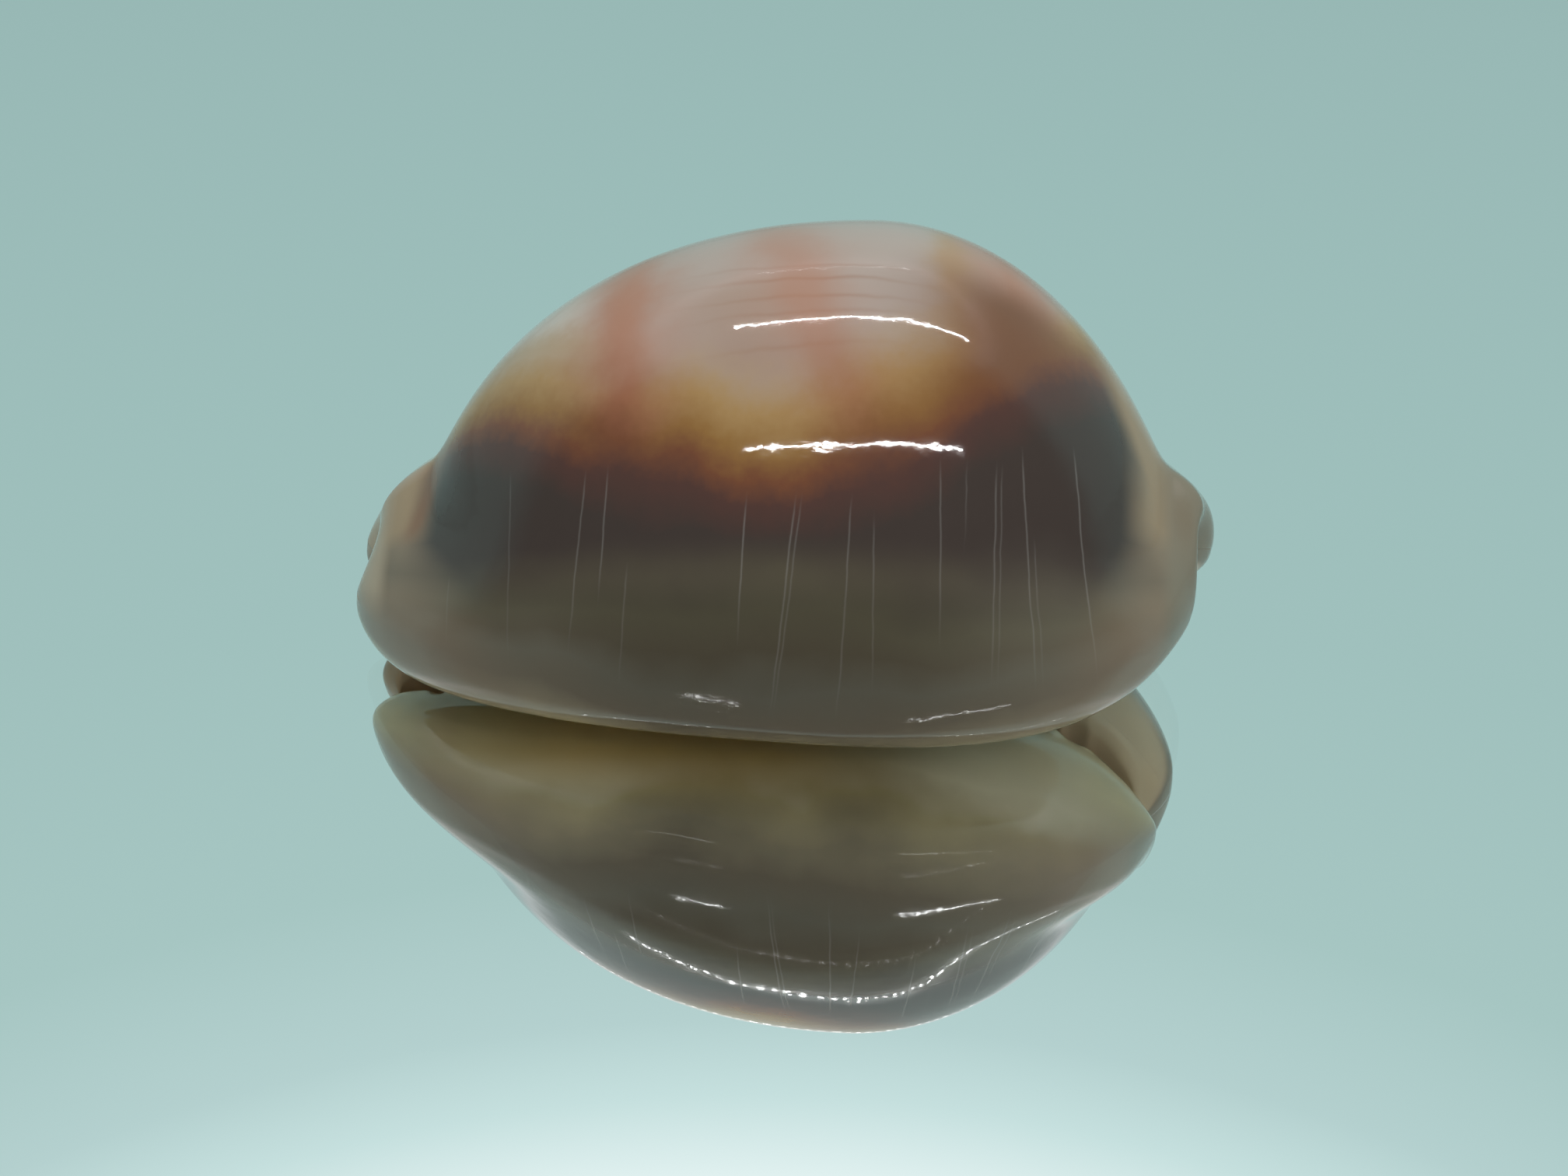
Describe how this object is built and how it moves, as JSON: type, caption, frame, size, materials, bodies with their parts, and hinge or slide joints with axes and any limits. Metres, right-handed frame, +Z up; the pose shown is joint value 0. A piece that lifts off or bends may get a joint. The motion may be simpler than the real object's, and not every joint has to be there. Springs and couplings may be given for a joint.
{
  "type": "ventral cowrie shell",
  "caption": "Egg-shaped glossy cowrie shell with a humped dome, thick callused margin and a long toothed aperture slit along its base.",
  "frame": {"origin": "middle of the shell's footprint, on the plane that its base rests on", "axes": "+Z up through the dome, +X along the shell to its posterior end, +Y to the outer (labral) lip's side"},
  "size_m": [0.052, 0.0346, 0.0262],
  "materials": {
    "shell_porcelain": "high gloss natural shell: pale and orange-brown dome, dark grey-brown flanks, cream base and teeth"
  },
  "bodies": {
    "root": {"shell": "shell_porcelain"}
  },
  "joints": []
}
